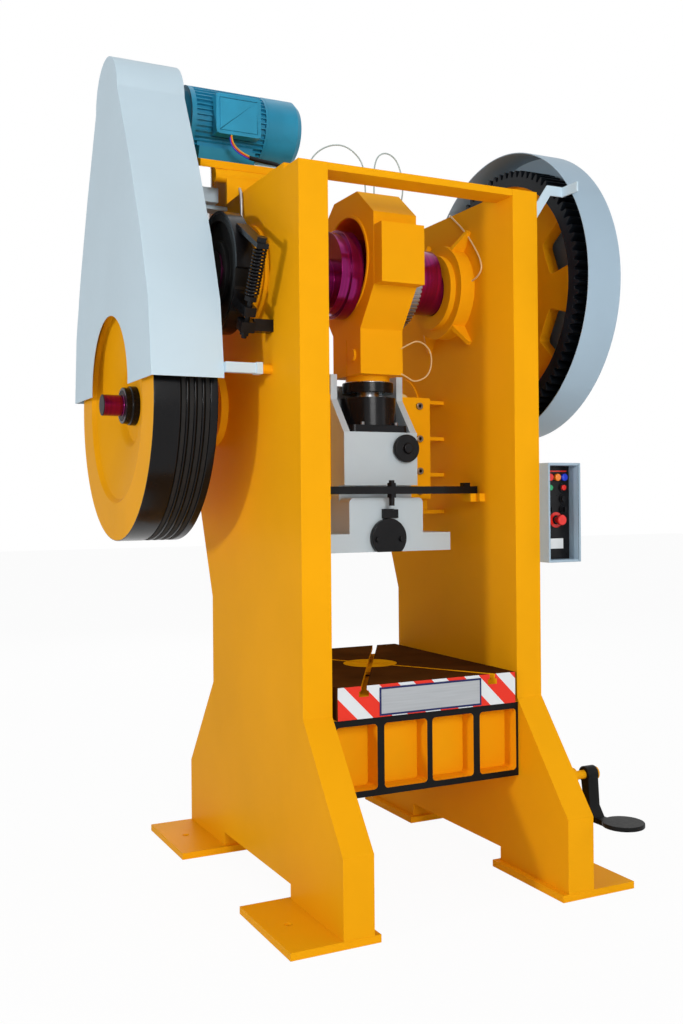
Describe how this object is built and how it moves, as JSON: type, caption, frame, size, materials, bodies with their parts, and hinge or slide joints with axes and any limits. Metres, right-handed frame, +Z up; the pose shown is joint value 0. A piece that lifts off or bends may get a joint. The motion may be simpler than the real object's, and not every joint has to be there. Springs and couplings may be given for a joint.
{
  "type": "mechanical stamping press",
  "caption": "Straight-sided geared power press: two box side frames, bed with T-slot bolster, guided slide on an eccentric shaft, bull gear, flywheel, motor and guards.",
  "frame": {"origin": "centre of the four anchor bolt holes, on the floor under the feet", "axes": "+X to the right seen from the operator's side, +Y to the back, +Z up"},
  "size_m": [1.758, 1.895, 3.1783],
  "materials": {
    "frame_paint": "gloss enamel",
    "guard_paint": "gloss enamel",
    "slide_paint": "gloss enamel",
    "cast_grey": "machined and oiled",
    "black_metal": "satin",
    "steel": "turned",
    "oiled_steel": "turned, with a violet rust film",
    "bronze": "machined",
    "lining_red": "satin",
    "plug_yellow": "satin",
    "bolster_brown": "machined and oiled",
    "belt_rubber": "matt",
    "motor_paint": "gloss enamel",
    "black_plastic": "satin",
    "red_plastic": "gloss",
    "green_plastic": "gloss",
    "lamp_plastic": "gloss, in three colours"
  },
  "bodies": {
    "base": {"left_side_frame": "frame_paint", "right_side_frame": "frame_paint", "foot_plates": "frame_paint", "tie_bars": "frame_paint", "bed": "frame_paint", "bolster_plate": "bolster_brown", "bolster_plug": "plug_yellow", "guide_brackets": "frame_paint", "guide_liners": "bronze", "guide_covers": "frame_paint", "shaft_bushes": "bronze", "brake_band": "black_metal", "brake_rod": "steel", "brake_spring": "steel", "drive_belts": "belt_rubber", "motor_body": "motor_paint", "motor_terminal_box": "motor_paint", "motor_fan_cover": "motor_paint", "motor_plate": "frame_paint", "motor_bracket": "frame_paint", "tension_bolts": "steel", "belt_guard": "guard_paint", "gear_guard": "guard_paint", "guard_supports": "guard_paint", "knockout_bar": "steel", "control_enclosure": "guard_paint", "control_panel": "black_metal", "pilot_lamps": "lamp_plastic", "pedal_bracket": "frame_paint", "switch_box": "guard_paint"},
    "crank": {"crankshaft": "oiled_steel", "stroke_ring": "steel", "brake_drum": "black_metal"},
    "gear": {"bull_gear": "cast_grey", "gear_bush": "bronze"},
    "flywheel_shaft": {"pinion_shaft": "oiled_steel", "drive_pinion": "steel", "flywheel": "cast_grey", "flywheel_collars": "black_metal"},
    "rotor": {"motor_shaft": "steel", "motor_fan": "black_plastic", "motor_pulley": "cast_grey"},
    "ram": {"slide": "slide_paint", "ball_retainer": "black_metal", "slide_bolts": "steel", "shank_clamp": "black_metal"},
    "rod": {"connecting_rod": "frame_paint", "rod_lining": "lining_red", "ball_screw": "steel", "lock_nut": "black_metal"},
    "knob": {"slide_knob": "black_plastic"},
    "start": {"start_button": "green_plastic"},
    "stop": {"stop_button": "red_plastic"},
    "inch": {"inch_button": "black_plastic"},
    "run": {"run_button": "black_plastic"},
    "mode_switch": {"mode_selector": "black_plastic"},
    "motor_switch": {"motor_selector": "black_plastic"},
    "mushroom": {"emergency_stop": "red_plastic"},
    "pedal": {"foot_pedal": "black_metal"}
  },
  "joints": [
    {"name": "flywheel_spin", "type": "hinge", "parent": "base", "child": "flywheel_shaft", "pos_m": [0, 0.4, 1.80991], "axis": [1, 0, 0], "continuous": true},
    {"name": "gear_turn", "type": "hinge", "parent": "base", "child": "gear", "pos_m": [0, 0, 2.281], "axis": [1, 0, 0], "continuous": true},
    {"name": "motor_turn", "type": "hinge", "parent": "base", "child": "rotor", "pos_m": [0, 0.4, 2.98245], "axis": [1, 0, 0], "continuous": true},
    {"name": "slide_travel", "type": "slide", "parent": "base", "child": "ram", "axis": [0, 0, 1], "range_m": [-0.146, 0]},
    {"name": "crank_turn", "type": "hinge", "parent": "base", "child": "crank", "pos_m": [0, 0, 2.281], "axis": [1, 0, 0], "range_deg": [0, 180]},
    {"name": "rod_swing", "type": "hinge", "parent": "ram", "child": "rod", "pos_m": [0, 0, 1.76], "axis": [1, 0, 0], "range_deg": [-7.06, 7.06]},
    {"name": "knob_turn", "type": "hinge", "parent": "ram", "child": "knob", "pos_m": [0.105, -0.11, 1.629], "axis": [0, -1, 0], "continuous": true},
    {"name": "start_press", "type": "slide", "parent": "base", "child": "start", "axis": [0, 1, 0], "range_m": [0, 0.004], "stiffness_N_per_m": 400, "springref_m": -0.002},
    {"name": "stop_press", "type": "slide", "parent": "base", "child": "stop", "axis": [0, 1, 0], "range_m": [0, 0.004], "stiffness_N_per_m": 400, "springref_m": -0.002},
    {"name": "inch_press", "type": "slide", "parent": "base", "child": "inch", "axis": [0, 1, 0], "range_m": [0, 0.004], "stiffness_N_per_m": 400, "springref_m": -0.002},
    {"name": "run_press", "type": "slide", "parent": "base", "child": "run", "axis": [0, 1, 0], "range_m": [0, 0.004], "stiffness_N_per_m": 400, "springref_m": -0.002},
    {"name": "mode_turn", "type": "hinge", "parent": "base", "child": "mode_switch", "pos_m": [0.545, -0.452, 1.384], "axis": [0, -1, 0], "range_deg": [-45, 45]},
    {"name": "motor_switch_turn", "type": "hinge", "parent": "base", "child": "motor_switch", "pos_m": [0.608, -0.452, 1.384], "axis": [0, -1, 0], "range_deg": [-45, 45]},
    {"name": "emergency_press", "type": "slide", "parent": "base", "child": "mushroom", "axis": [0, 1, 0], "range_m": [0, 0.006]},
    {"name": "pedal_press", "type": "hinge", "parent": "base", "child": "pedal", "pos_m": [0.566, -0.62, 0.4], "axis": [1, 0, 0], "range_deg": [0, 8], "stiffness_Nm_per_rad": 40, "springref_deg": -22.92}
  ],
  "couplings": [
    {"joint": "gear_turn", "follows": "flywheel_spin", "ratio": -0.19767},
    {"joint": "motor_turn", "follows": "flywheel_spin", "ratio": 4.6652},
    {"joint": "crank_turn", "follows": "slide_travel", "rad_per_m": -21.517}
  ]
}
